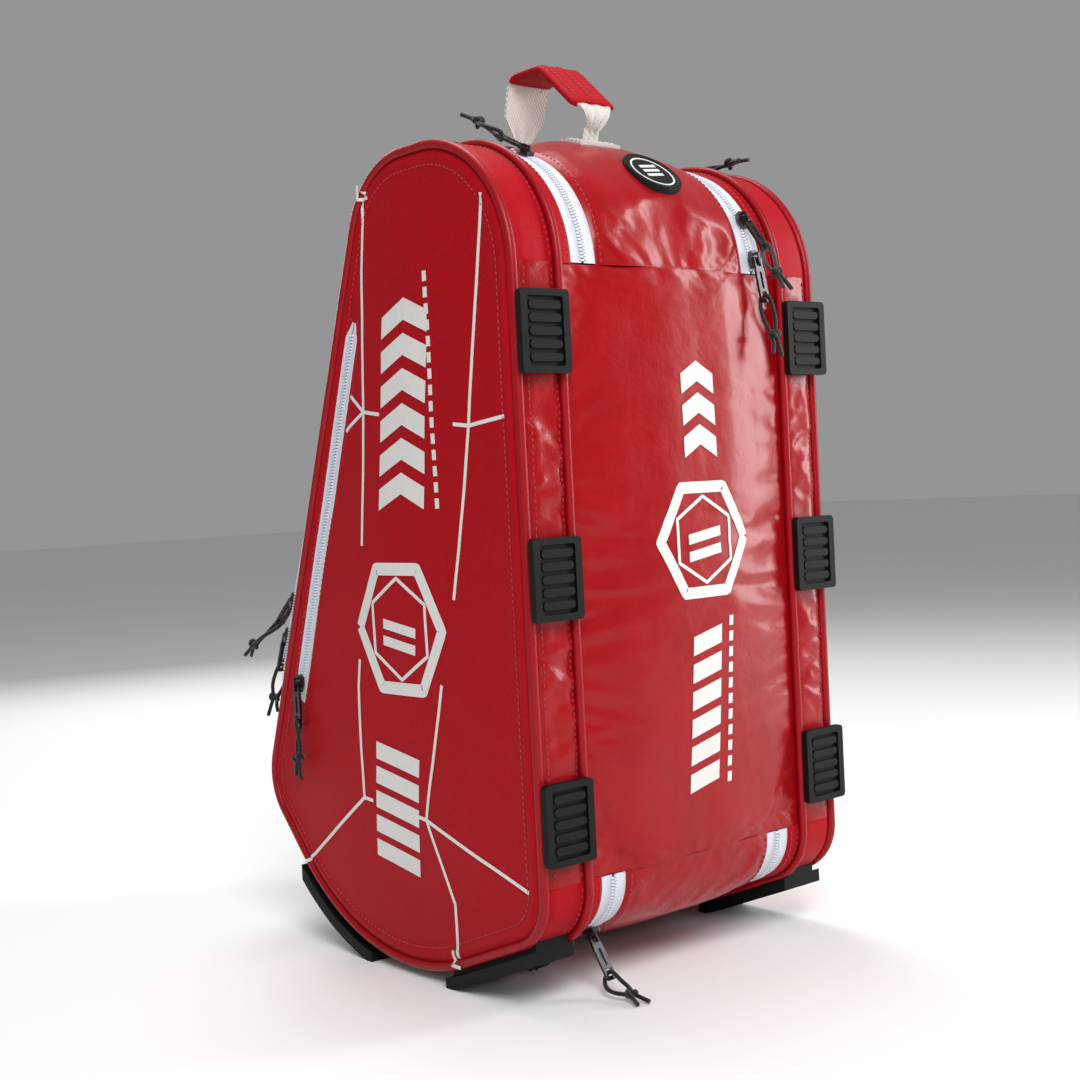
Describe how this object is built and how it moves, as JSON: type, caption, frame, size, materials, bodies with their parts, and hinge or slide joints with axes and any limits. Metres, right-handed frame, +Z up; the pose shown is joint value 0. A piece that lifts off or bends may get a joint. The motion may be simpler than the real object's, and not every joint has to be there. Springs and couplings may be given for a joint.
{
  "type": "racket tournament bag",
  "caption": "Upright racket bag with a centre compartment between swing-out side compartments, side doors, zippers, handle and shoulder straps.",
  "frame": {"origin": "on the floor, under the middle of the bag's bounding box", "axes": "+X towards the bag's right side, -Y towards its padded front, +Z up"},
  "size_m": [0.3041, 0.407, 0.6554],
  "materials": {
    "badge_rubber": "moulded rubber",
    "black_cord": "braided cord",
    "black_mesh": "spacer mesh",
    "black_plastic": "moulded acetal",
    "black_rubber": "moulded rubber",
    "gloss_red": "glossy coated tarpaulin",
    "grey_lining": "padded lining",
    "gunmetal": "gunmetal plated zinc",
    "matte_red": "woven polyester",
    "red_piping": "coated fabric piping",
    "red_wrap": "woven polyester",
    "white_webbing": "woven webbing",
    "zipper_white": "woven zipper tape"
  },
  "bodies": {
    "core": {"front_panel": "gloss_red", "back_panel": "matte_red", "base_panel": "matte_red", "top_panel": "gloss_red", "centre_divider": "grey_lining", "centre_zip_tapes": "zipper_white", "top_badge": "badge_rubber", "sewn_webbing": "white_webbing", "shoulder_straps": "black_mesh", "strap_adjusters": "black_plastic"},
    "handle": {"handle_webbing": "white_webbing", "handle_wrap": "red_wrap"},
    "left_wing": {"left_gusset_front": "gloss_red", "left_gusset_wrap": "matte_red", "left_inner_wall": "grey_lining", "left_zip_tapes": "zipper_white", "left_seam_piping": "red_piping", "left_rubber_feet": "black_rubber", "left_panel_front": "matte_red"},
    "right_wing": {"right_gusset_front": "gloss_red", "right_gusset_wrap": "matte_red", "right_inner_wall": "grey_lining", "right_zip_tapes": "zipper_white", "right_seam_piping": "red_piping", "right_rubber_feet": "black_rubber", "right_panel_front": "matte_red"},
    "left_door": {"left_side_panel": "matte_red", "left_door_piping": "red_piping", "left_door_tape": "zipper_white", "left_pocket_zip": "zipper_white"},
    "right_door": {"right_side_panel": "matte_red", "right_door_piping": "red_piping", "right_door_tape": "zipper_white", "right_pocket_zip": "zipper_white"},
    "left_side_upper_slider": {"left_side_upper_slider": "gunmetal"},
    "left_side_upper_pull": {"left_side_upper_puller": "gunmetal", "left_side_upper_cord": "black_cord"},
    "left_side_lower_slider": {"left_side_lower_slider": "gunmetal"},
    "left_side_lower_pull": {"left_side_lower_puller": "gunmetal", "left_side_lower_cord": "black_cord"},
    "left_base_front_slider": {"left_base_front_slider": "gunmetal"},
    "left_base_front_pull": {"left_base_front_puller": "gunmetal", "left_base_front_cord": "black_cord"},
    "left_base_rear_slider": {"left_base_rear_slider": "gunmetal"},
    "left_base_rear_pull": {"left_base_rear_puller": "gunmetal", "left_base_rear_cord": "black_cord"},
    "left_top_slider": {"left_top_slider": "gunmetal"},
    "left_top_pull": {"left_top_puller": "gunmetal"},
    "right_centre_upper_slider": {"right_centre_upper_slider": "gunmetal"},
    "right_centre_upper_pull": {"right_centre_upper_puller": "gunmetal", "right_centre_upper_cord": "black_cord"},
    "right_centre_lower_slider": {"right_centre_lower_slider": "gunmetal"},
    "right_centre_lower_pull": {"right_centre_lower_puller": "gunmetal", "right_centre_lower_cord": "black_cord"},
    "right_side_slider": {"right_side_slider": "gunmetal"},
    "right_side_pull": {"right_side_puller": "gunmetal"},
    "left_pocket_slider": {"left_pocket_slider": "gunmetal"},
    "left_pocket_pull": {"left_pocket_puller": "gunmetal", "left_pocket_cord": "black_cord"}
  },
  "joints": [
    {"name": "handle_swing", "type": "hinge", "parent": "core", "child": "handle", "pos_m": [0, -0.09875, 0.59724], "axis": [0, 0.998, 0.0631], "range_deg": [-60, 60]},
    {"name": "left_wing_hinge", "type": "hinge", "parent": "core", "child": "left_wing", "pos_m": [-0.082, -0.18275, 0.3], "axis": [0, 0, 1], "range_deg": [0, 85]},
    {"name": "left_door_hinge", "type": "hinge", "parent": "left_wing", "child": "left_door", "pos_m": [-0.1461, -0.07775, 0.3], "axis": [0, 0, 1], "range_deg": [0, 100]},
    {"name": "right_wing_hinge", "type": "hinge", "parent": "core", "child": "right_wing", "pos_m": [0.082, -0.18275, 0.3], "axis": [0, 0, -1], "range_deg": [0, 85]},
    {"name": "right_door_hinge", "type": "hinge", "parent": "right_wing", "child": "right_door", "pos_m": [0.1461, -0.07775, 0.3], "axis": [0, 0, -1], "range_deg": [0, 100]},
    {"name": "left_side_upper_zip", "type": "slide", "parent": "left_wing", "child": "left_side_upper_slider", "axis": [0, -0.3868, 0.9222], "range_m": [0, 0.255]},
    {"name": "left_side_upper_puller_hinge", "type": "hinge", "parent": "left_side_upper_slider", "child": "left_side_upper_pull", "pos_m": [-0.1338, 0.12819, 0.26677], "axis": [1, 0, 0], "range_deg": [0, 100]},
    {"name": "left_side_lower_zip", "type": "slide", "parent": "left_wing", "child": "left_side_lower_slider", "axis": [0, -0.3868, 0.9222], "range_m": [-0.012, 0.008]},
    {"name": "left_side_lower_puller_hinge", "type": "hinge", "parent": "left_side_lower_slider", "child": "left_side_lower_pull", "pos_m": [-0.1338, 0.13994, 0.23877], "axis": [1, 0, 0], "range_deg": [0, 20]},
    {"name": "left_base_front_zip", "type": "slide", "parent": "core", "child": "left_base_front_slider", "axis": [0, 0.9328, -0.3605], "range_m": [0, 0.009]},
    {"name": "left_base_front_puller_hinge", "type": "hinge", "parent": "left_base_front_slider", "child": "left_base_front_pull", "pos_m": [-0.082, -0.14955, 0.03886], "axis": [-1, 0, 0], "range_deg": [0, 65]},
    {"name": "left_base_rear_zip", "type": "slide", "parent": "core", "child": "left_base_rear_slider", "axis": [0, 0.9328, -0.3605], "range_m": [0, 0.025]},
    {"name": "left_base_rear_puller_hinge", "type": "hinge", "parent": "left_base_rear_slider", "child": "left_base_rear_pull", "pos_m": [-0.082, -0.12555, 0.02959], "axis": [1, 0, 0], "range_deg": [0, 8]},
    {"name": "left_top_zip", "type": "hinge", "parent": "core", "child": "left_top_slider", "pos_m": [0, -0.08275, 0.48832], "axis": [1, 0, 0], "range_deg": [-20, 50]},
    {"name": "left_top_puller_hinge", "type": "hinge", "parent": "left_top_slider", "child": "left_top_pull", "pos_m": [-0.082, -0.1222, 0.57694], "axis": [1, 0, 0], "range_deg": [0, 140]},
    {"name": "right_centre_upper_zip", "type": "hinge", "parent": "core", "child": "right_centre_upper_slider", "pos_m": [0, -0.08275, 0.48832], "axis": [-1, 0, 0], "range_deg": [0, 55]},
    {"name": "right_centre_upper_puller_hinge", "type": "hinge", "parent": "right_centre_upper_slider", "child": "right_centre_upper_pull", "pos_m": [0.082, -0.17051, 0.53304], "axis": [-1, 0, 0], "range_deg": [0, 100]},
    {"name": "right_centre_lower_zip", "type": "hinge", "parent": "core", "child": "right_centre_lower_slider", "pos_m": [0, -0.08275, 0.48832], "axis": [-1, 0, 0], "range_deg": [0, 2]},
    {"name": "right_centre_lower_puller_hinge", "type": "hinge", "parent": "right_centre_lower_slider", "child": "right_centre_lower_pull", "pos_m": [0.082, -0.18029, 0.50203], "axis": [-1, 0, 0], "range_deg": [0, 3]},
    {"name": "right_side_zip", "type": "hinge", "parent": "right_wing", "child": "right_side_slider", "pos_m": [0, -0.0533, 0.51332], "axis": [-1, 0, 0], "range_deg": [0, 55]},
    {"name": "right_side_puller_hinge", "type": "hinge", "parent": "right_side_slider", "child": "right_side_pull", "pos_m": [0.1338, -0.0533, 0.58532], "axis": [-1, 0, 0], "range_deg": [0, 150]},
    {"name": "left_pocket_zip", "type": "slide", "parent": "left_door", "child": "left_pocket_slider", "axis": [0, -0.3452, 0.9385], "range_m": [0, 0.25]},
    {"name": "left_pocket_puller_hinge", "type": "hinge", "parent": "left_pocket_slider", "child": "left_pocket_pull", "pos_m": [-0.1503, 0.10342, 0.20314], "axis": [0, 1, 0], "range_deg": [0, 140]}
  ]
}
